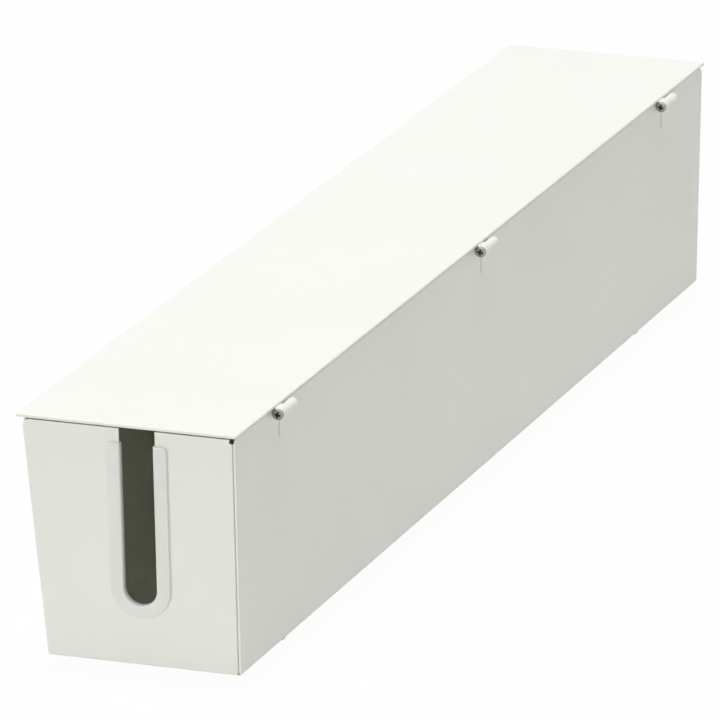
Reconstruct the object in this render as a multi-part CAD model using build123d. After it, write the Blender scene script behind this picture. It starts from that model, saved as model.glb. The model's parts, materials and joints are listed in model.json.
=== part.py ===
from build123d import *
import math
import os

# Cable organizer: a long folded sheet-steel tray with a flat hinged lid.
# X runs along the box, +Y is the hinge side, Z is up. Lengths are in millimetres.
# The origin is on the floor, in the middle of the overall footprint.

# Tray, folded from one sheet: upright back wall, leaning front wall and ends
tray_length = 598.0
tray_depth = 89.2
tray_height = 98.6
end_lean = 5.5
front_lean = 7.9
sheet = 0.8
bend_radius = 1.0
seam_width = 0.4
seam_relief_radius = 0.6
seam_edge_radius = 0.6
seam_notch_radius = 1.05
seam_notch_depth = 0.8
seam_notch_inset = 1.55
wall_corner_radius = 3.0
end_corner_radius = 2.8

# Cable slot in each end plate
slot_width = 15.2
slot_floor = 24.85
slot_forward_shift = 0.46

# Plastic trim pushed over the edge of each slot
trim_lip = 0.55
trim_clearance = 0.1
trim_flange = 4.92
trim_front_thickness = 1.3
trim_back_thickness = 0.8
trim_top_gap = 5.9
trim_corner_radius = 2.0
trim_opening_radius = 0.7
trim_rim_radius = 0.25
trim_rim_step = 0.5
trim_rim_gap = 0.45
trim_back_edge_radius = 0.3

# Lid, a flat sheet
lid_thickness = 1.25
lid_gap = 0.85
lid_rest_clearance = 0.05
lid_end_overhang = 1.0
lid_front_overhang = 2.4
lid_back_overhang = 0.85
lid_corner_radius = 0.8
lid_edge_radius = 0.4

# Hinges: a barrel welded to the back wall, one welded to the lid, and a screw as the pin
hinge_end_inset = 54.5
barrel_diameter = 4.6
barrel_stand_off = 0.2
barrel_lid_clearance = 0.39
barrel_edge_radius = 0.25
body_barrel_length = 9.0
lid_barrel_length = 7.1
barrel_gap = 0.2
wall_weld_height = 2.0
lid_weld_height = 0.2

# Slit in the back wall beside each barrel that is welded to it
slit_width = 1.2
slit_depth = 12.9

# Hinge screw with a pan head and a cross recess
screw_diameter = 2.5
thread_clearance = 0.02
running_clearance = 0.05
head_diameter = 4.5
head_height = 1.6
head_clearance = 0.1
head_edge_radius = 0.6
recess_length = 2.6
recess_width = 0.7
recess_depth = 1.1
recess_core_radius = 0.75
screw_end_inset = 0.5

# Feet under the base
foot_height = 6.4
foot_top_diameter = 12.0
foot_bottom_diameter = 11.0
foot_edge_radius = 0.8
foot_end_inset = 66.5
foot_side_inset = 11.8

# One overrun for every cut that runs past a face
overrun = 5.0

# Heights, from the floor up
base_z = foot_height
wall_top_z = base_z + tray_height
lid_bottom_z = wall_top_z + lid_gap
lid_top_z = lid_bottom_z + lid_thickness
front_rim_z = lid_bottom_z - lid_rest_clearance

# Depths, with the overall footprint centred on the origin
barrel_radius = barrel_diameter / 2
barrel_reach = barrel_stand_off + barrel_diameter
overall_depth = lid_front_overhang + tray_depth + barrel_reach
back_y = overall_depth / 2 - barrel_reach
front_top_y = back_y - tray_depth
front_base_y = front_top_y + front_lean
lid_front_y = front_top_y - lid_front_overhang
lid_back_y = back_y + lid_back_overhang
base_middle_y = (front_base_y + back_y) / 2

# The hinge axis: the barrels stand clear of the wall and just clear the lid's lower edge
axis_y = back_y + barrel_stand_off + barrel_radius
lid_edge_to_axis = axis_y - lid_back_y
lid_edge_reach = barrel_radius + barrel_lid_clearance
axis_z = lid_bottom_z - math.sqrt(lid_edge_reach**2 - lid_edge_to_axis**2)

# Slopes of the leaning walls, and how much longer they are than they are high
end_slope = end_lean / tray_height
front_slope = front_lean / tray_height
end_stretch = math.hypot(1, end_slope)
front_stretch = math.hypot(1, front_slope)

# The slot's round bottom is centred a little forward of the middle of the base
slot_radius = slot_width / 2
slot_centre_y = base_middle_y - slot_forward_shift
slot_centre_z = base_z + slot_floor + slot_radius

# The outer hinges keep their distance from the ends, and the third is halfway
hinge_spacing = tray_length / 2 - hinge_end_inset


def end_x(z, inset=0):
    """Half length of the tray at height z, measured to a face set in from the outside."""
    return tray_length / 2 - end_lean + end_slope * (z - base_z) - inset * end_stretch


def front_y(z, inset=0):
    """Position of the front wall at height z, measured to a face set in from the outside."""
    return front_base_y - front_slope * (z - base_z) + inset * front_stretch


def across_prism(points, x_low, x_high):
    """A prism along X over an outline of (y, z) points."""
    outline = Plane.YZ.offset(x_low) * Polygon(*points, align=None)
    return extrude(outline, x_high - x_low)


def tapered_block(inset, z_low, z_high, bottom_radius):
    """The block inside the tray's walls, set in from their outer faces, with rounded lower bends."""
    across = [
        (front_y(z_low, inset), z_low),
        (back_y - inset, z_low),
        (back_y - inset, z_high),
        (front_y(z_high, inset), z_high),
    ]
    along = [
        (-end_x(z_low, inset), z_low),
        (end_x(z_low, inset), z_low),
        (end_x(z_high, inset), z_high),
        (-end_x(z_high, inset), z_high),
    ]
    block = across_prism(across, -tray_length, tray_length)
    block &= extrude(Plane.XZ * Polygon(*along, align=None), tray_depth, both=True)
    return fillet(block.edges().group_by(Axis.Z)[0], bottom_radius)


def end_plane(side):
    """Plane of an end plate's outer face: x across, y up the plate, z outward, origin at the slot."""
    origin = (side * end_x(slot_centre_z), slot_centre_y, slot_centre_z)
    return Plane(origin, x_dir=(0, side, 0), z_dir=(side, 0, -end_slope))


def slot_outline(half_width, top):
    """A U-shaped outline round the slot's centre, straight up to the given top."""
    return Circle(half_width) + Pos(0, top / 2) * Rectangle(2 * half_width, top)


def plate_top():
    """Distance up the end plate from the slot's centre to the plate's top edge."""
    return (wall_top_z - slot_centre_z) * end_stretch


def rim_cut():
    """Only the front wall reaches up to the lid: this lowers the back wall to stop below it."""
    top_z = front_rim_z + overrun
    outline = [
        (front_y(wall_top_z, sheet), wall_top_z),
        (back_y + overrun, wall_top_z),
        (back_y + overrun, top_z),
        (front_y(top_z, sheet), top_z),
    ]
    return across_prism(outline, -tray_length, tray_length)


def end_rim_cut():
    """This lowers the whole width of the right end plate to the height of the back wall."""
    top_z = front_rim_z + overrun
    x_high = end_x(top_z) + overrun
    outline = [
        (end_x(wall_top_z, sheet), wall_top_z),
        (x_high, wall_top_z),
        (x_high, top_z),
        (end_x(top_z, sheet), top_z),
    ]
    return extrude(Plane.XZ * Polygon(*outline, align=None), tray_depth, both=True)


def back_seam_cut():
    """The open seam between the right end plate and the back wall, with a round relief at its foot."""
    foot_z = base_z + sheet
    top_z = front_rim_z + overrun
    wall_y = back_y - sheet
    edge_y = wall_y - seam_width
    x_low = end_x(foot_z, sheet) - bend_radius
    x_high = end_x(top_z) + overrun
    outline = [(edge_y, foot_z), (wall_y, foot_z), (wall_y, top_z), (edge_y, top_z)]
    relief = Plane.YZ.offset(x_low) * Pos((edge_y + wall_y) / 2, foot_z) * Circle(seam_relief_radius)
    return across_prism(outline, x_low, x_high) + extrude(relief, x_high - x_low)


def seam_edge_cut():
    """This rounds the right end plate's outer upright edge, beside the back seam."""
    edge = back_y - sheet - seam_width - slot_centre_y
    reach = seam_edge_radius + overrun
    corner = Rectangle(seam_edge_radius + seam_width / 2, reach, align=(Align.MIN, Align.MIN))
    outline = Pos(edge - seam_edge_radius, -seam_edge_radius) * (corner - Circle(seam_edge_radius))
    return end_plane(1) * extrude(Plane.XZ * outline, tray_height, both=True)


def seam_notch_cut():
    """The round notch in the right end plate at the top of the back seam, open upwards."""
    notch_x = end_x(wall_top_z - seam_notch_depth - seam_notch_radius, sheet) - seam_width
    notch_y = back_y - seam_notch_inset
    outline = Pos(notch_y, wall_top_z - seam_notch_depth) * Circle(seam_notch_radius)
    return extrude(Plane.YZ.offset(notch_x) * outline, sheet + overrun)


def front_seam_cut():
    """The open seam between the front wall and the right end plate, which covers the wall's end."""
    foot_z = base_z + sheet
    top_z = front_rim_z + overrun
    foot_x = end_x(foot_z, sheet)
    top_x = end_x(top_z, sheet)
    y_low = front_top_y - overrun
    y_high = front_y(foot_z, sheet) + bend_radius
    outline = [(foot_x - seam_width, foot_z), (foot_x, foot_z), (top_x, top_z), (top_x - seam_width, top_z)]
    plane = Plane.XZ.offset(-y_high)
    seam = extrude(plane * Polygon(*outline, align=None), y_high - y_low)
    relief = plane * Pos(foot_x - seam_width / 2, foot_z) * Circle(seam_relief_radius)
    return seam + extrude(relief, y_high - y_low)


def slit_cut(hinge_x):
    """The narrow slit in the back wall, between a hinge's two barrels and open at the top."""
    slit_x = hinge_x + body_barrel_length / 2 + barrel_gap / 2
    height = slit_depth + overrun
    middle_z = wall_top_z - slit_depth + height / 2
    return Pos(slit_x, back_y - sheet / 2, middle_z) * Box(slit_width, 2 * sheet, height)


def slot_cut(side):
    """The cable slot through an end plate, open at the top."""
    outline = end_plane(side) * slot_outline(slot_radius, plate_top() + overrun)
    return extrude(outline, overrun) + extrude(outline, -(sheet + overrun))


def top_corners(tray):
    """The short top edges at both ends of every wall, apart from those at the slots."""
    short_edges = tray.edges().filter_by(lambda e: e.length < 2 * sheet)
    top_edges = short_edges.filter_by(lambda e: e.center().Z > wall_top_z - sheet / 2)
    return top_edges.filter_by(lambda e: abs(e.center().Y - slot_centre_y) > slot_width)


def make_tray():
    """The folded tray: base, upright back wall, leaning front wall and two leaning end plates."""
    tray = tapered_block(0, base_z, front_rim_z, bend_radius)
    tray -= tapered_block(sheet, base_z + sheet, front_rim_z + overrun, bend_radius - sheet)
    tray -= rim_cut()
    for end_cut in (end_rim_cut(), back_seam_cut(), front_seam_cut()):
        tray -= end_cut
        tray -= mirror(end_cut, Plane.YZ)
    for side in (1, -1):
        tray -= slot_cut(side)
    plate_corners = top_corners(tray).filter_by(Axis.X, tolerance=10)
    tray = fillet(plate_corners.filter_by(lambda e: e.center().Y < slot_centre_y), end_corner_radius)
    tray = fillet(top_corners(tray).filter_by(Axis.Y, tolerance=10), wall_corner_radius)
    for edge_cut in (seam_edge_cut(), seam_notch_cut()):
        tray -= edge_cut
        tray -= mirror(edge_cut, Plane.YZ)
    for hinge_x in (hinge_spacing, 0, -hinge_spacing):
        tray -= slit_cut(hinge_x)
    return tray


def flange_outline(inset, top):
    """A trim flange's U-shaped outline, set in from its rim, with rounded top corners."""
    outline = slot_outline(slot_radius + trim_flange - inset, top - inset)
    return fillet(outline.vertices().group_by(Axis.Y)[-1], trim_corner_radius - inset)


def from_slot(edge):
    """How far the middle of an edge lies from the slot's U-shaped centre line."""
    middle = edge.center()
    return math.hypot(middle.X, min(middle.Y, 0))


def make_trim(side):
    """A slot trim: a lip lining the slot between two flanges, with the front one's rim clear of the plate."""
    top = plate_top() - trim_top_gap
    lining_half = slot_radius - trim_clearance
    opening = slot_outline(lining_half - trim_lip, top + overrun)
    lining = slot_outline(lining_half, top) - opening
    flange = flange_outline(0, top) - opening
    front = extrude(flange_outline(trim_rim_step, top) - opening, trim_rim_gap)
    front += Pos(0, 0, trim_rim_gap) * extrude(flange, trim_front_thickness - trim_rim_gap)
    face_edges = front.faces().sort_by(Axis.Z)[-1].edges()
    front = fillet(face_edges.filter_by(lambda e: from_slot(e) > lining_half), trim_rim_radius)
    face_edges = front.faces().sort_by(Axis.Z)[-1].edges()
    front = fillet(face_edges.filter_by(lambda e: from_slot(e) < lining_half), trim_opening_radius)
    back = Pos(0, 0, -sheet) * extrude(flange, -trim_back_thickness)
    back = fillet(back.faces().sort_by(Axis.Z)[0].edges(), trim_back_edge_radius)
    return end_plane(side) * (front + extrude(lining, -sheet) + back)


def make_lid():
    """The flat lid with rounded corners and softened top edges."""
    depth = lid_back_y - lid_front_y
    outline = RectangleRounded(tray_length + 2 * lid_end_overhang, depth, lid_corner_radius)
    lid = extrude(Pos(0, (lid_front_y + lid_back_y) / 2, lid_bottom_z) * outline, lid_thickness)
    return fillet(lid.faces().sort_by(Axis.Z)[-1].edges(), lid_edge_radius)


def axis_plane(x):
    """Plane across the hinge axis at x: local x is Y, local y is Z, local z runs along +X."""
    return Plane((x, axis_y, axis_z), x_dir=(0, 1, 0), z_dir=(1, 0, 0))


def make_barrel(x_low, length, weld, bore_radius):
    """A hinge barrel: a bored tube from x_low, fused with its weld root."""
    tube = extrude(Circle(barrel_radius), length)
    tube = fillet(tube.edges().filter_by(GeomType.CIRCLE), barrel_edge_radius)
    barrel = tube + extrude(weld, length)
    barrel -= extrude(Circle(bore_radius), length)
    return axis_plane(x_low) * barrel


def make_body_barrel(hinge_x):
    """The barrel welded to the back wall; the screw is threaded into it."""
    root_width = barrel_stand_off + barrel_radius
    weld = Pos(-root_width / 2, 0) * Rectangle(root_width, wall_weld_height)
    bore_radius = screw_diameter / 2 + thread_clearance
    return make_barrel(hinge_x - body_barrel_length / 2, body_barrel_length, weld, bore_radius)


def lid_barrel_x(hinge_x):
    """Where the lid's barrel starts, just past the wall's barrel."""
    return hinge_x + body_barrel_length / 2 + barrel_gap


def make_lid_barrel(hinge_x):
    """The barrel welded to the lid's back edge; it turns on the screw."""
    lid_low = lid_bottom_z - axis_z
    lid_corner = (-lid_edge_to_axis, lid_low)
    weld_top = (-lid_edge_to_axis, lid_low + lid_weld_height)
    weld = Polygon((0, 0), (0, barrel_radius), weld_top, lid_corner, align=None)
    bore_radius = screw_diameter / 2 + running_clearance
    return make_barrel(lid_barrel_x(hinge_x), lid_barrel_length, weld, bore_radius)


def make_screw(hinge_x):
    """The hinge screw: a pan head with a cross recess, and a plain shank down to the wall's barrel."""
    head_x = lid_barrel_x(hinge_x) + lid_barrel_length + head_clearance
    shank_length = head_x - (hinge_x - body_barrel_length / 2) - screw_end_inset
    head = extrude(Circle(head_diameter / 2), head_height)
    head = fillet(head.edges().group_by(Axis.Z)[-1], head_edge_radius)
    shank = extrude(Circle(screw_diameter / 2), -shank_length)
    recess_floor = Pos(0, 0, head_height - recess_depth)
    cross = Rectangle(recess_length, recess_width) + Rectangle(recess_width, recess_length)
    recess = recess_floor * extrude(cross + Circle(recess_core_radius), recess_depth + overrun)
    return axis_plane(head_x) * (head + shank - recess)


def make_foot(side, at_back):
    """A round foot under the base, a little narrower at the floor."""
    x = side * (end_x(base_z) - foot_end_inset)
    y = back_y - foot_side_inset if at_back else front_base_y + foot_side_inset
    foot = Cone(foot_bottom_diameter / 2, foot_top_diameter / 2, foot_height)
    foot = fillet(foot.edges().group_by(Axis.Z)[0], foot_edge_radius)
    return Pos(x, y, foot_height / 2) * foot


def make_parts():
    """Every piece of the organizer, by name."""
    parts = {"tray": make_tray(), "lid_panel": make_lid()}
    sides = {"right": 1, "left": -1}
    for side_name, side in sides.items():
        parts[f"slot_trim_{side_name}"] = make_trim(side)
        parts[f"foot_back_{side_name}"] = make_foot(side, at_back=True)
        parts[f"foot_front_{side_name}"] = make_foot(side, at_back=False)
    hinges = {"right": hinge_spacing, "middle": 0, "left": -hinge_spacing}
    for hinge_name, hinge_x in hinges.items():
        parts[f"wall_barrel_{hinge_name}"] = make_body_barrel(hinge_x)
        parts[f"lid_barrel_{hinge_name}"] = make_lid_barrel(hinge_x)
        parts[f"hinge_screw_{hinge_name}"] = make_screw(hinge_x)
    return parts


os.makedirs("parts", exist_ok=True)
for node_name, shape in make_parts().items():
    export_step(shape, f"parts/{node_name}.step")
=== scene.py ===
import json
import math

import bpy
import numpy as np
from mathutils import Matrix, Vector


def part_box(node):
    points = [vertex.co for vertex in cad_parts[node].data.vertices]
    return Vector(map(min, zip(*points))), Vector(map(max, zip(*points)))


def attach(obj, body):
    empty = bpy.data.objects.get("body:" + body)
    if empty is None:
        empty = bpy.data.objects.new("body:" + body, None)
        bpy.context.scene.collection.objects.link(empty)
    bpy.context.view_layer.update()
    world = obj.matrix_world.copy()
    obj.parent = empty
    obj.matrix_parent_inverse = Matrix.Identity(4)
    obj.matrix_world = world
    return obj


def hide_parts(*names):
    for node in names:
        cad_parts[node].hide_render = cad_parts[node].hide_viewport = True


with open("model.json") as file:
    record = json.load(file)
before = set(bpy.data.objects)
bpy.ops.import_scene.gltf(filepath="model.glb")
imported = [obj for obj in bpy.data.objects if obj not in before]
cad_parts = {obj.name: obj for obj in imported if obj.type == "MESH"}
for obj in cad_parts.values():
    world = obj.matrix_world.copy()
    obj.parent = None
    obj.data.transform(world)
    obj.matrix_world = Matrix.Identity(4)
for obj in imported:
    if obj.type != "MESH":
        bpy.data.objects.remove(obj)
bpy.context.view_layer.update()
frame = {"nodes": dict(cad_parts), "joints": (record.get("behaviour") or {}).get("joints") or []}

scene = bpy.context.scene
scene.view_settings.view_transform = "Standard"

# Shapes are worked out in millimetres and put into the meshes in metres
MM = 0.001

# Camera, at the photograph's angle: degrees, metres and pixels of the 720-pixel frame
CAMERA_AZIMUTH = 109.781
CAMERA_ELEVATION = 16.7673
CAMERA_ROLL = -0.1207
CAMERA_PLACE = (3.4811348, 1.2397264, 1.1619230)
CAMERA_NEAR = 0.1
CAMERA_FAR = 50.0
FOCAL_PIXELS = 9143.0771
FRAME_PIXELS = 720
SENSOR_MM = 36.0

# Soft lights: name, place and aim in metres, width in metres, power in watts, colour
SOFTBOXES = (
    ("overhead", (0.3, 0.0, 6.0), (0.0, 0.0, 0.1), 2.0, 251.0, (0.97, 0.97, 1.0)),
    ("front_key", (7.6, -4.3, 2.2), (0.0, 0.0, 0.05), 1.0, 139.0, (1.0, 1.0, 1.0)),
    ("front_fill", (8.1, 2.92, 2.7), (0.0, 0.0, 0.05), 1.6, 79.0, (1.0, 1.0, 1.0)),
    ("wall_fill", (-0.6, 8.0, 1.6), (0.0, 0.0, 0.05), 2.5, 6.0, (1.0, 1.0, 1.0)),
)

# Light from all round, and the floor with its half width in metres
WORLD_STRENGTH = 0.295
WHITE = (1, 1, 1, 1)
FLOOR_HALF = 6.0
FLOOR_COLOUR = (0.8, 0.8, 0.775, 1)
FLOOR_WHITE_SHARE = 0.96

# Colours of the finishes, each from its darker to its lighter patches
COAT_DARK = (0.873, 0.882, 0.812)
COAT_LIGHT = (0.889, 0.902, 0.835)
COAT_EDGE = (0.832, 0.840, 0.776)
PLASTIC_DARK = (0.812, 0.822, 0.769)
PLASTIC_LIGHT = (0.836, 0.847, 0.798)
PLATING_DARK = (0.30, 0.30, 0.285)
PLATING_LIGHT = (0.40, 0.40, 0.385)
# Painted shade: near black, laid into the screw heads' cross recesses
RECESS_SHADE_COLOUR = (0.03, 0.03, 0.028)
RUBBER_DARK = (0.52, 0.52, 0.49)
RUBBER_LIGHT = (0.60, 0.60, 0.57)

# The part of its range that a noise pattern mostly uses, and a narrower part for more contrast
NOISE_RANGE = (0.3, 0.7)
SPECK_RANGE = (0.35, 0.65)

# Sockets of the Mix node when it mixes colours
MIX_SHARE = 0
MIX_LOW = 6
MIX_HIGH = 7
MIX_RESULT = 2

# Lengths of the solids that the detailed pieces stand for, in millimetres
SHEET = 0.8
BASE_Z = 6.4
WALL_TOP_Z = 105.0
END_SLOPE = 5.5 / 98.6
END_BASE_X = 293.5
SLOT_CENTRE_Y = 2.29
SLOT_CENTRE_Z = 38.85
TRIM_INNER_HALF = 6.95
TRIM_LIP = 0.55
TRIM_WIDTH = 5.57
TRIM_FRONT = 1.3
TRIM_BACK = 0.8
TRIM_TOP_GAP = 5.9
TRIM_CORNER = 2.0
TRIM_OPENING_EDGE = 0.7
TRIM_RIM_EDGE = 0.25
TRIM_RIM_STEP = 0.5
TRIM_RIM_GAP = 0.45
TRIM_BACK_EDGE = 0.3
LID_CORNER = 0.8
LID_EDGE = 0.4
LID_LOWER_EDGE = 0.2
BARREL_RADIUS = 2.3
BARREL_EDGE = 0.25
WALL_TO_AXIS = 2.5
LID_TO_AXIS = 1.65
LID_OVER_AXIS = 2.125
LID_WELD = 0.2
SCREW_RADIUS = 1.25
HEAD_RADIUS = 2.25
HEAD_HEIGHT = 1.6
HEAD_EDGE = 0.6
RECESS_HALF = 1.3
RECESS_HALF_WIDTH = 0.35
RECESS_DEPTH = 1.1
FOOT_TOP_RADIUS = 6.0
FOOT_BOTTOM_RADIUS = 5.5
FOOT_EDGE = 0.8

# Finer values that only the detailed pieces have, in millimetres, degrees and plain shares
CREASE_ANGLE = 38.0
WALL_BORE_CLEARANCE = 0.02
LID_BORE_CLEARANCE = 0.05
BORE_BEVEL = 0.15
WELD_SINK = 0.05
WELD_BEAD = 0.7
WELD_TOP_HEIGHT = 0.5
WELD_TOP_MEETING = 22.0
WELD_RIPPLE_PITCH = 0.95
WALL_WELD_RIPPLE = 0.03
LID_WELD_RIPPLE = 0.025
LID_WELD_START = 112.0
LEAST_COSINE = 0.2
RECESS_SOFTNESS = 0.12
RECESS_FLARE = 0.06
RECESS_RISE = 0.45
RECESS_TURN = -10.0
RECESS_CORE = 0.35
HEAD_CROWN = 0.12
HEAD_CHAMFER = 0.1
HEAD_MIDDLE = 0.02
THREAD_PITCH = 0.45
THREAD_DEPTH = 0.14
THREAD_RUN_IN = 0.3
THREAD_STEP = 0.02
THREAD_END = 0.35
TIP_LENGTH = 0.3
TIP_STEP = 0.15
TIP_TAPER = 0.4
TURNING_PITCH = 0.16
TRIM_TOUCH = 0.01
TRIM_AFTER_CORNER = 2.0
TRIM_STRAIGHT_START = 8.0
FOOT_MIDDLE = 0.05
FOOT_HOLLOW_DEPTH = 0.6
FOOT_HOLLOW_RADIUS = 2.4
FOOT_HOLLOW_SIDE = 0.4
FOOT_HOLLOW_LIP = 0.25
FOOT_HOLLOW_LIP_HEIGHT = 0.15
FOOT_TOP_EDGE = 0.25
FOOT_TOP_DROP = 0.3


# Camera, lights and floor


def place_camera():
    """A long lens at the photograph's angle; its axes are right, up and back, turned by the small roll."""
    azimuth, elevation, roll = (math.radians(a) for a in (CAMERA_AZIMUTH, CAMERA_ELEVATION, CAMERA_ROLL))
    back = np.array([
        math.sin(azimuth) * math.cos(elevation),
        -math.cos(azimuth) * math.cos(elevation),
        math.sin(elevation),
    ])
    level = np.array([math.cos(azimuth), math.sin(azimuth), 0.0])
    upright = np.cross(back, level)
    right = math.cos(roll) * level + math.sin(roll) * upright
    up = math.cos(roll) * upright - math.sin(roll) * level
    data = bpy.data.cameras.new("camera")
    data.sensor_width = SENSOR_MM
    data.lens = SENSOR_MM * FOCAL_PIXELS / FRAME_PIXELS
    data.clip_start = CAMERA_NEAR
    data.clip_end = CAMERA_FAR
    camera = bpy.data.objects.new("camera", data)
    turn = Matrix(np.column_stack([right, up, back]).tolist())
    camera.matrix_world = Matrix.Translation(CAMERA_PLACE) @ turn.to_4x4()
    scene.collection.objects.link(camera)
    scene.camera = camera


def add_softbox(name, place, aim, size, power, colour):
    """A square soft light at a place, turned to face a point."""
    data = bpy.data.lights.new(name, "AREA")
    data.shape = "SQUARE"
    data.size = size
    data.energy = power
    data.color = colour
    light = bpy.data.objects.new(name, data)
    light.location = place
    light.rotation_mode = "QUATERNION"
    light.rotation_quaternion = (Vector(aim) - Vector(place)).to_track_quat("-Z", "Y")
    scene.collection.objects.link(light)


def seen_white(nodes, links):
    """A socket that is 1 where the camera looks, also by reflection or through glass, and else 0."""
    path = nodes.new("ShaderNodeLightPath")
    seen = path.outputs["Is Camera Ray"]
    for ray in ("Is Glossy Ray", "Is Transmission Ray"):
        either = nodes.new("ShaderNodeMath")
        either.operation = "MAXIMUM"
        links.new(seen, either.inputs[0])
        links.new(path.outputs[ray], either.inputs[1])
        seen = either.outputs[0]
    return seen


def make_world(strength):
    """Soft light from all round; the camera and shiny surfaces see plain white."""
    world = bpy.data.worlds.new("studio")
    scene.world = world
    world.use_nodes = True
    nodes, links = world.node_tree.nodes, world.node_tree.links
    nodes.clear()
    out = nodes.new("ShaderNodeOutputWorld")
    ambient = nodes.new("ShaderNodeBackground")
    ambient.inputs["Color"].default_value = WHITE
    ambient.inputs["Strength"].default_value = strength
    white = nodes.new("ShaderNodeBackground")
    white.inputs["Color"].default_value = WHITE
    mix = nodes.new("ShaderNodeMixShader")
    links.new(seen_white(nodes, links), mix.inputs["Fac"])
    links.new(ambient.outputs[0], mix.inputs[1])
    links.new(white.outputs[0], mix.inputs[2])
    links.new(mix.outputs[0], out.inputs["Surface"])


def make_floor(white_share):
    """A plain pale floor that keeps the object's shadow; the camera sees it mostly as white paper."""
    mesh = bpy.data.meshes.new("floor")
    corners = [(x * FLOOR_HALF, y * FLOOR_HALF, 0.0) for x, y in ((-1, -1), (1, -1), (1, 1), (-1, 1))]
    mesh.from_pydata(corners, [], [(0, 1, 2, 3)])
    floor = bpy.data.objects.new("floor", mesh)
    scene.collection.objects.link(floor)
    material = bpy.data.materials.new("floor_paper")
    material.use_nodes = True
    nodes, links = material.node_tree.nodes, material.node_tree.links
    bsdf = nodes["Principled BSDF"]
    bsdf.inputs["Base Color"].default_value = FLOOR_COLOUR
    bsdf.inputs["Roughness"].default_value = 1.0
    bsdf.inputs["Specular IOR Level"].default_value = 0.0
    white = nodes.new("ShaderNodeEmission")
    share = nodes.new("ShaderNodeMath")
    share.operation = "MULTIPLY"
    share.inputs[1].default_value = white_share
    mix = nodes.new("ShaderNodeMixShader")
    links.new(seen_white(nodes, links), share.inputs[0])
    links.new(share.outputs[0], mix.inputs["Fac"])
    links.new(bsdf.outputs[0], mix.inputs[1])
    links.new(white.outputs[0], mix.inputs[2])
    links.new(mix.outputs[0], nodes["Material Output"].inputs["Surface"])
    mesh.materials.append(material)


# Materials


class Finish:
    """A procedural finish: a Principled shader with patterns on Object coordinates or on attributes."""

    def __init__(self, name, roughness, metallic=0.0):
        self.material = bpy.data.materials.new(name)
        self.material.use_nodes = True
        self.nodes = self.material.node_tree.nodes
        self.links = self.material.node_tree.links
        self.shader = self.nodes["Principled BSDF"]
        self.shader.inputs["Roughness"].default_value = roughness
        self.shader.inputs["Metallic"].default_value = metallic
        self.place = self.nodes.new("ShaderNodeTexCoord").outputs["Object"]

    def noise(self, size_mm, detail, stretch=None):
        """Noise whose blotches are about size_mm across."""
        node = self.nodes.new("ShaderNodeTexNoise")
        node.inputs["Scale"].default_value = 1.0 / (size_mm * MM)
        node.inputs["Detail"].default_value = detail
        source = self.place
        if stretch:
            mapping = self.nodes.new("ShaderNodeMapping")
            mapping.inputs["Scale"].default_value = stretch
            self.links.new(self.place, mapping.inputs["Vector"])
            source = mapping.outputs["Vector"]
        self.links.new(source, node.inputs["Vector"])
        return node.outputs["Fac"]

    def attribute(self, name):
        """A float that the piece's mesh carries at its points; zero where it has none."""
        node = self.nodes.new("ShaderNodeAttribute")
        node.attribute_name = name
        return node.outputs["Fac"]

    def spread(self, source, low, high, source_range=NOISE_RANGE):
        """A pattern mapped from the range it uses to another."""
        node = self.nodes.new("ShaderNodeMapRange")
        sockets = ("From Min", "From Max", "To Min", "To Max")
        for socket, value in zip(sockets, (*source_range, low, high)):
            node.inputs[socket].default_value = value
        self.links.new(source, node.inputs["Value"])
        return node.outputs["Result"]

    def math(self, operation, first, second=None):
        """Two patterns, or a pattern and a number, put together."""
        node = self.nodes.new("ShaderNodeMath")
        node.operation = operation
        for socket, value in zip(node.inputs, (first, second)):
            if value is None:
                continue
            if isinstance(value, (int, float)):
                socket.default_value = value
            else:
                self.links.new(value, socket)
        return node.outputs[0]

    def weigh(self, first, first_share, second):
        """Two patterns added, the first by its share and the second by what is left."""
        first_part = self.math("MULTIPLY", first, first_share)
        second_part = self.math("MULTIPLY", second, 1.0 - first_share)
        return self.math("ADD", first_part, second_part)

    def mix(self, share, low, high):
        """A colour between two, each a fixed colour or a pattern, by a pattern from 0 to 1."""
        node = self.nodes.new("ShaderNodeMix")
        node.data_type = "RGBA"
        for socket, colour in ((MIX_LOW, low), (MIX_HIGH, high)):
            if isinstance(colour, tuple):
                node.inputs[socket].default_value = (*colour, 1)
            else:
                self.links.new(colour, node.inputs[socket])
        self.links.new(share, node.inputs[MIX_SHARE])
        return node.outputs[MIX_RESULT]

    def bump(self, height, depth_mm, strength):
        """Relief of the given depth from a pattern from 0 to 1."""
        node = self.nodes.new("ShaderNodeBump")
        node.inputs["Strength"].default_value = strength
        node.inputs["Distance"].default_value = depth_mm * MM
        self.links.new(height, node.inputs["Height"])
        self.links.new(node.outputs["Normal"], self.shader.inputs["Normal"])

    def give(self, socket, source):
        """A pattern into one of the shader's sockets."""
        self.links.new(source, self.shader.inputs[socket])


def powder_coat():
    """Satin white powder coat: orange peel about 2 mm across with a fine grain, a little duller in patches,
    slicker and thinner along edges."""
    edge_tint, edge_slick = 0.5, 0.08
    finish = Finish("white_powder_coat", roughness=0.45)
    cloud = finish.noise(size_mm=90.0, detail=3.0)
    fine = finish.noise(size_mm=3.5, detail=2.0)
    worn = finish.attribute("edge")
    tone = finish.spread(finish.weigh(cloud, 0.8, fine), 0.0, 1.0)
    colour = finish.mix(tone, COAT_DARK, COAT_LIGHT)
    finish.give("Base Color", finish.mix(finish.math("MULTIPLY", worn, edge_tint), colour, COAT_EDGE))
    dull = finish.spread(finish.noise(size_mm=28.0, detail=4.0), 0.42, 0.5)
    finish.give("Roughness", finish.math("SUBTRACT", dull, finish.math("MULTIPLY", worn, edge_slick)))
    peel = finish.noise(size_mm=1.9, detail=1.0)
    grain = finish.noise(size_mm=0.3, detail=2.0)
    finish.bump(finish.weigh(peel, 0.75, grain), depth_mm=0.02, strength=0.35)
    return finish.material


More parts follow.
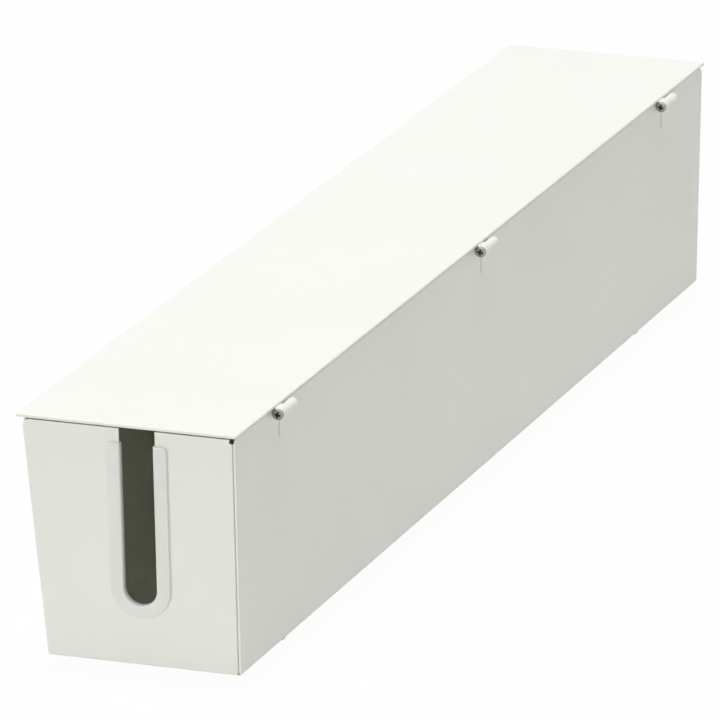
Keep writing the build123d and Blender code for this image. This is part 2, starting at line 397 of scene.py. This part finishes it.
def moulded_plastic():
    """Pale moulded plastic: light seeps about 1 mm into it; a fine spark-eroded grain, faint flow marks, and
    edges polished by handling."""
    edge_polish = 0.1
    finish = Finish("moulded_trim", roughness=0.45)
    finish.shader.inputs["Subsurface Weight"].default_value = 0.3
    finish.shader.inputs["Subsurface Radius"].default_value = (1.0, 1.0, 1.0)
    finish.shader.inputs["Subsurface Scale"].default_value = MM
    flow = finish.noise(size_mm=14.0, detail=3.0, stretch=(1.0, 1.0, 0.35))
    worn = finish.attribute("edge")
    finish.give("Base Color", finish.mix(finish.spread(flow, 0.0, 1.0), PLASTIC_DARK, PLASTIC_LIGHT))
    dull = finish.spread(finish.noise(size_mm=5.0, detail=3.0), 0.42, 0.54)
    finish.give("Roughness", finish.math("SUBTRACT", dull, finish.math("MULTIPLY", worn, edge_polish)))
    finish.bump(finish.noise(size_mm=0.22, detail=3.0), depth_mm=0.015, strength=0.4)
    return finish.material


def plated_steel():
    """Zinc-plated steel: fine turning rings on the head, cloudy plating, and painted shade in the cross
    recess, less dark at its middle.
    """
    recess_dullness = 0.3
    finish = Finish("plated_screw_steel", roughness=0.5, metallic=1.0)
    hollow = finish.attribute("hollow")
    cloud = finish.spread(finish.noise(size_mm=0.9, detail=4.0), 0.0, 1.0)
    colour = finish.mix(cloud, PLATING_DARK, PLATING_LIGHT)
    # Painted shade: the recess mask darkens the plating to near black inside the cross recess
    finish.give("Base Color", finish.mix(hollow, colour, RECESS_SHADE_COLOUR))
    rough = finish.spread(finish.noise(size_mm=0.35, detail=3.0), 0.45, 0.6)
    finish.give("Roughness", finish.math("ADD", rough, finish.math("MULTIPLY", hollow, recess_dullness)))
    turns = finish.math("MULTIPLY", finish.attribute("turning"), 2.0 * math.pi / TURNING_PITCH)
    rings = finish.spread(finish.math("SINE", turns), 0.0, 1.0, source_range=(-1.0, 1.0))
    finish.bump(rings, depth_mm=0.004, strength=0.5)
    return finish.material


def foot_rubber():
    """Pale grey rubber with faint specks and a matt moulded grain."""
    finish = Finish("foot_rubber", roughness=0.75)
    speck = finish.spread(finish.noise(size_mm=0.8, detail=4.0), 0.0, 1.0, source_range=SPECK_RANGE)
    finish.give("Base Color", finish.mix(speck, RUBBER_DARK, RUBBER_LIGHT))
    finish.give("Roughness", finish.spread(finish.noise(size_mm=1.6, detail=3.0), 0.68, 0.85))
    finish.bump(finish.noise(size_mm=0.25, detail=3.0), depth_mm=0.03, strength=0.5)
    return finish.material


# Meshes from whole arrays


def grid_faces(rows, columns, wrap_rows):
    """Quads between neighbouring grid points; the last column joins the first, and rows do if they wrap."""
    row = np.arange(rows if wrap_rows else rows - 1)
    row, column = (a.ravel() for a in np.meshgrid(row, np.arange(columns), indexing="ij"))
    next_row = (row + 1) % rows
    next_column = (column + 1) % columns
    return np.stack([
        row * columns + column,
        row * columns + next_column,
        next_row * columns + next_column,
        next_row * columns + column,
    ], axis=1)


def shell_volume(points, quads):
    """Six times the signed volume under the quads, summed over the two triangles of each."""
    a, b, c, d = (points[quads[:, k]] for k in range(4))
    return np.sum(a * np.cross(b, c)) + np.sum(a * np.cross(c, d))


def put_piece(name, points, wrap_rows, body, material, replaced, attributes=None):
    """A closed piece from a grid of points (rows, columns, xyz) in millimetres whose columns wrap.
    Rows that don't wrap are closed by a flat face over the first and over the last row."""
    rows, columns, _ = points.shape
    flat = points.reshape(-1, 3)
    quads = grid_faces(rows, columns, wrap_rows)
    caps = [] if wrap_rows else [np.arange(columns)[::-1], (rows - 1) * columns + np.arange(columns)]
    if shell_volume(flat - flat.mean(axis=0), quads) < 0:
        quads = quads[:, ::-1]
        caps = [cap[::-1] for cap in caps]
    mesh = bpy.data.meshes.new(name)
    mesh.from_pydata((flat * MM).tolist(), [], quads.tolist() + [cap.tolist() for cap in caps])
    mesh.polygons.foreach_set("use_smooth", np.ones(len(mesh.polygons), dtype=bool))
    mesh.set_sharp_from_angle(angle=math.radians(CREASE_ANGLE))
    for attribute_name, values in (attributes or {}).items():
        layer = mesh.attributes.new(attribute_name, "FLOAT", "POINT")
        layer.data.foreach_set("value", np.ascontiguousarray(values, dtype=np.float32).ravel())
    mesh.materials.append(material)
    mesh.update()
    piece = bpy.data.objects.new(name, mesh)
    scene.collection.objects.link(piece)
    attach(piece, body)
    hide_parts(replaced)


def node_box(node):
    """Lowest and highest corner of a CAD node, in millimetres."""
    low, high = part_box(node)
    return np.array(low) / MM, np.array(high) / MM


def quarter(steps):
    """Angles of a quarter turn, from 0 to 90 degrees."""
    return np.linspace(0.0, math.pi / 2, steps)


def full_turn(steps):
    """Angles of a whole turn, without its last, which is its first."""
    return np.linspace(0.0, 2 * math.pi, steps, endpoint=False)


# Lid


def make_lid(material):
    """The lid's sheet: the outline is a rectangle with round corners, and the profile goes in along the top,
    round the upper edge, down the side and round the lower edge. Each point is its corner's centre plus
    (corner radius - inset) along its direction, at the profile's height."""
    low, high = node_box("lid_panel")
    turn = quarter(steps=9)
    upper = quarter(steps=7)
    lower = quarter(steps=4)
    inset = np.concatenate([
        [LID_CORNER], LID_EDGE * (1 - np.sin(upper)), LID_LOWER_EDGE * (1 - np.cos(lower)), [LID_CORNER],
    ])
    height = np.concatenate([
        [high[2]],
        high[2] - LID_EDGE * (1 - np.cos(upper)),
        low[2] + LID_LOWER_EDGE * (1 - np.sin(lower)),
        [low[2]],
    ])
    edge = np.concatenate([[0.0], np.sin(2 * upper), np.zeros(len(lower)), [0.0]])
    angles = np.concatenate([turn + k * math.pi / 2 for k in range(4)])
    signs = np.repeat([[1, 1], [-1, 1], [-1, -1], [1, -1]], len(turn), axis=0)
    half = (high[:2] - low[:2]) / 2 - LID_CORNER
    centres = (high[:2] + low[:2]) / 2 + signs * half
    direction = np.stack([np.cos(angles), np.sin(angles)], axis=1)
    across = centres[None] + (LID_CORNER - inset)[:, None, None] * direction[None]
    points = np.concatenate([across, np.broadcast_to(height[:, None, None], (*across.shape[:2], 1))], axis=2)
    edges = np.broadcast_to(edge[:, None], points.shape[:2])
    put_piece("coated_lid", points, False, "lid", material, "lid_panel", {"edge": edges})


# Hinges


def axis_place():
    """Y and Z of the hinge axis, in millimetres."""
    return np.array(frame["joints"][0]["pos_m"][1:]) / MM


def ray_to_line(cosine, sine, first, second):
    """Distance from the origin along a direction to the straight line through two points."""
    run = np.subtract(second, first)
    return (first[0] * run[1] - first[1] * run[0]) / (cosine * run[1] - sine * run[0])


def on_tube(angle):
    """The point of the tube's skin at an angle."""
    return BARREL_RADIUS * math.cos(angle), BARREL_RADIUS * math.sin(angle)


def weld_ripple(height, share, x):
    """Ripples of a weld: a half sine across it, by the share from one side to the other, times a cosine
    along the axis."""
    return height * np.sin(math.pi * share)[None] * np.cos(2 * math.pi * x / WELD_RIPPLE_PITCH)[:, None]


def wall_weld(angles, x):
    """Distance from the axis to the skin of the barrel on the wall: the tube's radius, but below a concave
    weld bead that touches tube and wall, on top a flat weld, and between them the wall itself, a touch inside
    it."""
    from_wall = math.pi - np.abs(angles)
    cosine, sine = np.cos(from_wall), np.sin(from_wall)
    centre = np.array([WALL_TO_AXIS - WELD_BEAD, 0.0])
    centre[1] = math.sqrt((BARREL_RADIUS + WELD_BEAD) ** 2 - centre[0] ** 2)
    foot = math.atan2(centre[1], WALL_TO_AXIS)
    meeting = math.atan2(centre[1], centre[0])
    along = centre[0] * cosine + centre[1] * sine
    hollow = along - np.sqrt(np.maximum(along**2 - centre @ centre + WELD_BEAD**2, 0.0))
    share = np.clip((from_wall - foot) / (meeting - foot), 0.0, 1.0)
    ripple = weld_ripple(WALL_WELD_RIPPLE, share, x)
    to_wall = (WALL_TO_AXIS + WELD_SINK) / np.maximum(cosine, LEAST_COSINE)
    below = np.where(from_wall < foot, to_wall, np.where(from_wall < meeting, hollow, BARREL_RADIUS))
    top_foot = math.atan2(WELD_TOP_HEIGHT, WALL_TO_AXIS)
    top_meeting = math.radians(WELD_TOP_MEETING)
    flat = ray_to_line(cosine, sine, (WALL_TO_AXIS, WELD_TOP_HEIGHT), on_tube(top_meeting))
    above = np.where(from_wall < top_foot, to_wall, np.where(from_wall < top_meeting, flat, BARREL_RADIUS))
    return np.where(angles < 0, below[None] + ripple, np.broadcast_to(above, ripple.shape))


def wall_weld_angles():
    """Angles round the wall's barrel, in radians, closer together at the welds below and on top."""
    bead_end, top_start, last, step = -1.9, 2.2, 3.1, 0.05
    return np.concatenate([
        np.linspace(-math.pi, bead_end, 40),
        np.linspace(bead_end + step, top_start, 60),
        np.linspace(top_start + step, last, 24),
    ])


def lid_weld_limits():
    """Angles, in radians, at which the lid's weld starts on the tube, meets the lid's edge and leaves it."""
    start = math.radians(LID_WELD_START)
    top = math.atan2(LID_OVER_AXIS + LID_WELD, -LID_TO_AXIS)
    corner = math.atan2(LID_OVER_AXIS, -LID_TO_AXIS)
    return start, top, corner


def lid_weld(angles, x):
    """Distance from the axis to the skin of the barrel on the lid: the tube's radius, but up and back a weld
    with a straight top that runs to the lid's edge and a touch into it."""
    start, top, corner = lid_weld_limits()
    cosine, sine = np.cos(angles), np.sin(angles)
    line = ray_to_line(cosine, sine, on_tube(start), (-LID_TO_AXIS, LID_OVER_AXIS + LID_WELD))
    to_lid = (LID_TO_AXIS + WELD_SINK) / np.maximum(-cosine, LEAST_COSINE)
    skin = np.where((angles > start) & (angles < top), line, BARREL_RADIUS)
    skin = np.where((angles >= top) & (angles <= corner), to_lid, skin)
    share = np.clip((angles - start) / (top - start), 0.0, 1.0)
    return skin[None] + weld_ripple(LID_WELD_RIPPLE, share, x)


def lid_weld_angles():
    """Angles round the lid's barrel, in radians, closer together at the weld, with a step at its corner."""
    start, top, corner = lid_weld_limits()
    after_start, after_top, after_corner, last = 0.03, 0.02, 0.001, 3.1
    return np.concatenate([
        np.linspace(-math.pi, start, 72),
        np.linspace(start + after_start, top, 10),
        np.linspace(top + after_top, corner, 4),
        np.linspace(corner + after_corner, last, 16),
    ])


def make_barrel(node, name, body, angles, skin, bore_radius, material):
    """A hinge barrel: rows run along one end face, round its rim, along the skin, round the other rim and
    back through the bore, so that the grid wraps both ways. Each point is the axis plus the skin's distance
    at its angle, less the rim's inset, or the bore's radius."""
    low, high = node_box(node)
    rows_along = 49
    rim = quarter(steps=5)
    middle = np.linspace(low[0] + BARREL_EDGE, high[0] - BARREL_EDGE, rows_along)[1:-1]
    to_end = BARREL_EDGE * (1 - np.sin(rim))
    drawn_in = BARREL_EDGE * (1 - np.cos(rim))
    x = np.concatenate([low[0] + to_end[::-1], middle, high[0] - to_end])
    inset = np.concatenate([drawn_in[::-1], np.zeros(len(middle)), drawn_in])
    distance = skin(angles, x) - inset[:, None]
    bore_x = np.array([high[0], high[0] - BORE_BEVEL, low[0] + BORE_BEVEL, low[0]])
    bore = bore_radius + np.array([BORE_BEVEL, 0.0, 0.0, BORE_BEVEL])
    distance = np.concatenate([distance, np.broadcast_to(bore[:, None], (len(bore), len(angles)))])
    x = np.concatenate([x, bore_x])
    worn = np.concatenate([inset / BARREL_EDGE, np.zeros(len(bore))])
    axis = axis_place()
    points = np.stack([
        np.broadcast_to(x[:, None], distance.shape),
        axis[0] + distance * np.cos(angles),
        axis[1] + distance * np.sin(angles),
    ], axis=2)
    edges = np.broadcast_to(worn[:, None], distance.shape)
    put_piece(name, points, True, body, material, node, {"edge": edges})


def cross_depth(y, z):
    """Depth of the head's cross recess: for each of two arms the product of soft steps across its length and
    its width, deeper towards the middle, and the deeper arm counts."""

    def arm(u, v):
        """One arm along u, shallower towards its ends."""
        ends = np.clip((RECESS_HALF - np.abs(u)) / RECESS_SOFTNESS, 0.0, 1.0)
        sides = np.clip((RECESS_HALF_WIDTH + RECESS_FLARE - np.abs(v)) / RECESS_SOFTNESS, 0.0, 1.0)
        return ends * sides * (1.0 - RECESS_RISE * np.abs(u) / RECESS_HALF)

    return RECESS_DEPTH * np.maximum(arm(y, z), arm(z, y))


def make_screw(hinge, material):
    """A hinge screw turned about the axis: rows run from the middle of the head over its crown and rim, in
    under the head, along the plain shank and the thread to the tip. The recess sinks the head's rows, and the
    thread is a triangle wave that winds once round for each pitch."""
    rows_per_turn = 10
    dark_from, core_light = 0.5, 0.6
    low, high = node_box(f"hinge_screw_{hinge}")
    thread_start = node_box(f"wall_barrel_{hinge}")[1][0] - THREAD_RUN_IN
    flat_radius = HEAD_RADIUS - HEAD_EDGE
    face = np.linspace(HEAD_MIDDLE, flat_radius, 46)
    rim = quarter(steps=9)[1:]
    under_x = high[0] - HEAD_HEIGHT
    side_x = high[0] - HEAD_CROWN - HEAD_EDGE
    shank_x = np.array([under_x, under_x - HEAD_CHAMFER, thread_start])
    thread_x = np.arange(thread_start - THREAD_STEP, low[0] + THREAD_END, -THREAD_PITCH / rows_per_turn)
    tip_x = np.array([low[0] + TIP_LENGTH, low[0]])
    x = np.concatenate([
        high[0] - HEAD_CROWN * (face / flat_radius) ** 2,
        side_x + HEAD_EDGE * np.cos(rim),
        [under_x + HEAD_CHAMFER, under_x], shank_x, thread_x, tip_x,
    ])
    radius = np.concatenate([
        face,
        flat_radius + HEAD_EDGE * np.sin(rim),
        [HEAD_RADIUS, HEAD_RADIUS - HEAD_CHAMFER], [SCREW_RADIUS + HEAD_CHAMFER, SCREW_RADIUS, SCREW_RADIUS],
        np.full(len(thread_x), SCREW_RADIUS), [SCREW_RADIUS - TIP_STEP, SCREW_RADIUS - TIP_TAPER],
    ])
    angles = full_turn(steps=96)
    place_x = np.repeat(x[:, None], len(angles), axis=1)
    distance = np.repeat(radius[:, None], len(angles), axis=1)
    first = len(x) - len(tip_x) - len(thread_x)
    wave = (place_x[first:-len(tip_x)] / THREAD_PITCH - angles / (2 * math.pi)) % 1.0
    distance[first:-len(tip_x)] -= THREAD_DEPTH * np.abs(2 * wave - 1)
    y, z = distance * np.cos(angles), distance * np.sin(angles)
    tilt = math.radians(RECESS_TURN)
    depth = cross_depth(y * math.cos(tilt) + z * math.sin(tilt), z * math.cos(tilt) - y * math.sin(tilt))
    depth[len(face):] = 0.0
    axis = axis_place()
    points = np.stack([place_x - depth, axis[0] + y, axis[1] + z], axis=2)
    # Mask for the painted shade in the cross recess: darker with depth, less dark round the middle
    lit_core = np.exp(-(distance / RECESS_CORE) ** 2)
    hollow = np.clip(depth / (dark_from * RECESS_DEPTH), 0.0, 1.0) * (1.0 - core_light * lit_core)
    turning = np.zeros_like(distance)
    turning[:len(face)] = distance[:len(face)]
    put_piece(
        f"cross_screw_{hinge}", points, False, "box", material, f"hinge_screw_{hinge}",
        {"hollow": hollow, "turning": turning},
    )


# Slot trims


def channel_profile():
    """The trim's closed cross-section: distance out from the opening, and height off the end plate's face.
    It runs over the rounded front flange, in under its rim, along the plate to the lip, and round the back
    flange."""
    bend = quarter(steps=6)
    opening, rim, rear = TRIM_OPENING_EDGE, TRIM_RIM_EDGE, TRIM_BACK_EDGE
    seat = TRIM_WIDTH - TRIM_RIM_STEP
    back = -SHEET - TRIM_BACK
    inside = -SHEET - TRIM_TOUCH
    channel_out = [TRIM_WIDTH, seat, seat, TRIM_LIP, TRIM_LIP, TRIM_WIDTH]
    channel_height = [TRIM_RIM_GAP, TRIM_RIM_GAP, TRIM_TOUCH, TRIM_TOUCH, inside, inside]
    out = np.concatenate([
        opening * (1 - np.cos(bend)),
        TRIM_WIDTH - rim * (1 - np.sin(bend)),
        channel_out,
        TRIM_WIDTH - rear * (1 - np.cos(bend)),
        rear * (1 - np.sin(bend)),
    ])
    height = np.concatenate([
        TRIM_FRONT - opening * (1 - np.sin(bend)),
        TRIM_FRONT - rim * (1 - np.cos(bend)),
        channel_height,
        back + rear * (1 - np.sin(bend)),
        back + rear * (1 - np.cos(bend)),
    ])
    front_edges = np.tile(np.sin(2 * bend), 2)
    edge = np.concatenate([front_edges, np.zeros(len(out) - len(front_edges))])
    return out, height, edge


def round_off(distance, radius):
    """How far a rounded corner has drawn in at a distance from its end."""
    left = np.clip(radius - distance, 0.0, radius)
    return radius - np.sqrt(radius**2 - left**2)


def make_trim(side_name, side, material):
    """A slot trim: the channel's profile carried along the U of the slot, down one side, round the bottom
    and up the other. Towards both ends the flanges narrow and thin by a quarter circle, for the rounded
    corners."""
    stretch = math.hypot(1.0, END_SLOPE)
    top = (WALL_TOP_Z - SLOT_CENTRE_Z) * stretch - TRIM_TOP_GAP
    from_end = np.concatenate([
        TRIM_CORNER * (1 - np.cos(quarter(steps=9))),
        [TRIM_CORNER + TRIM_AFTER_CORNER],
        np.linspace(TRIM_STRAIGHT_START, top, 8)[:-1],
    ])
    arc = np.linspace(math.pi, 2 * math.pi, 41)
    down, up = top - from_end, (top - from_end)[::-1]
    across = np.concatenate([np.full(len(down), -1.0), np.cos(arc), np.full(len(up), 1.0)])
    fall = np.concatenate([np.zeros(len(down)), np.sin(arc), np.zeros(len(up))])
    start_v = np.concatenate([down, np.zeros(len(arc)), up])
    end_gap = np.concatenate([from_end, np.full(len(arc), top), from_end[::-1]])
    out, height, edge = channel_profile()
    narrow = (TRIM_WIDTH - TRIM_LIP - round_off(end_gap, TRIM_CORNER)) / (TRIM_WIDTH - TRIM_LIP)
    n = np.where(out > TRIM_LIP, TRIM_LIP + (out - TRIM_LIP) * narrow[:, None], out[None])
    front_share = 1 - round_off(end_gap, TRIM_RIM_EDGE) / TRIM_FRONT
    back_share = 1 - round_off(end_gap, TRIM_BACK_EDGE) / TRIM_BACK
    w = np.where(
        height > 0, height * front_share[:, None],
        np.where(height < -SHEET, -SHEET + (height + SHEET) * back_share[:, None], height[None]),
    )
    u = (TRIM_INNER_HALF + n) * across[:, None]
    v = start_v[:, None] + (TRIM_INNER_HALF + n) * fall[:, None]
    plate_x = END_BASE_X + END_SLOPE * (SLOT_CENTRE_Z - BASE_Z)
    origin = np.array([side * plate_x, SLOT_CENTRE_Y, SLOT_CENTRE_Z])
    u_axis = np.array([0.0, side, 0.0])
    w_axis = np.array([side, 0.0, -END_SLOPE]) / stretch
    v_axis = np.cross(w_axis, u_axis)
    points = origin + u[..., None] * u_axis + v[..., None] * v_axis + w[..., None] * w_axis
    edges = np.broadcast_to(edge[None], u.shape)
    put_piece(
        f"moulded_trim_{side_name}", points, False, "box", material, f"slot_trim_{side_name}",
        {"edge": edges},
    )


# Feet


def make_foot(place_name, material):
    """A round foot turned about its upright axis: rows run from the middle of its hollow underside over the
    rounded rim and up the cone to its top."""
    low, high = node_box(f"foot_{place_name}")
    middle = (low + high) / 2
    rim = quarter(steps=7)
    lean = (FOOT_TOP_RADIUS - FOOT_BOTTOM_RADIUS) / (high[2] - low[2])
    radius = np.concatenate([
        [FOOT_MIDDLE, FOOT_HOLLOW_RADIUS - FOOT_HOLLOW_SIDE],
        [FOOT_HOLLOW_RADIUS, FOOT_HOLLOW_RADIUS + FOOT_HOLLOW_LIP],
        FOOT_BOTTOM_RADIUS - FOOT_EDGE * (1 - np.sin(rim)) + lean * FOOT_EDGE * (1 - np.cos(rim)),
        [FOOT_TOP_RADIUS - FOOT_TOP_DROP * lean, FOOT_TOP_RADIUS - FOOT_TOP_EDGE],
    ])
    z = np.concatenate([
        [FOOT_HOLLOW_DEPTH, FOOT_HOLLOW_DEPTH],
        [FOOT_HOLLOW_LIP_HEIGHT, 0.0],
        FOOT_EDGE * (1 - np.cos(rim)),
        [high[2] - FOOT_TOP_EDGE, high[2]],
    ])
    angles = full_turn(steps=72)
    points = np.stack([
        middle[0] + radius[:, None] * np.cos(angles),
        middle[1] + radius[:, None] * np.sin(angles),
        np.broadcast_to(z[:, None], (len(z), len(angles))),
    ], axis=2)
    put_piece(
        f"rubber_foot_{place_name}", points, False, "box", material, f"foot_{place_name}",
    )


# The object

coat = powder_coat()
trim_plastic = moulded_plastic()
steel = plated_steel()
rubber = foot_rubber()

tray = frame["nodes"]["tray"]
tray.data.materials.clear()
tray.data.materials.append(coat)

make_lid(coat)
for hinge in ("right", "middle", "left"):
    make_barrel(
        f"wall_barrel_{hinge}", f"welded_wall_barrel_{hinge}", "box", wall_weld_angles(), wall_weld,
        SCREW_RADIUS + WALL_BORE_CLEARANCE, coat,
    )
    make_barrel(
        f"lid_barrel_{hinge}", f"welded_lid_barrel_{hinge}", "lid", lid_weld_angles(), lid_weld,
        SCREW_RADIUS + LID_BORE_CLEARANCE, coat,
    )
    make_screw(hinge, steel)
for side_name, side in (("right", 1), ("left", -1)):
    make_trim(side_name, side, trim_plastic)
    for row in ("back", "front"):
        make_foot(f"{row}_{side_name}", rubber)

# Light goes back and forth many times inside the closed box before it comes out of the slot
scene.cycles.diffuse_bounces = 20
scene.cycles.max_bounces = 24

place_camera()
make_world(WORLD_STRENGTH)
for softbox in SOFTBOXES:
    add_softbox(*softbox)
make_floor(FLOOR_WHITE_SHARE)
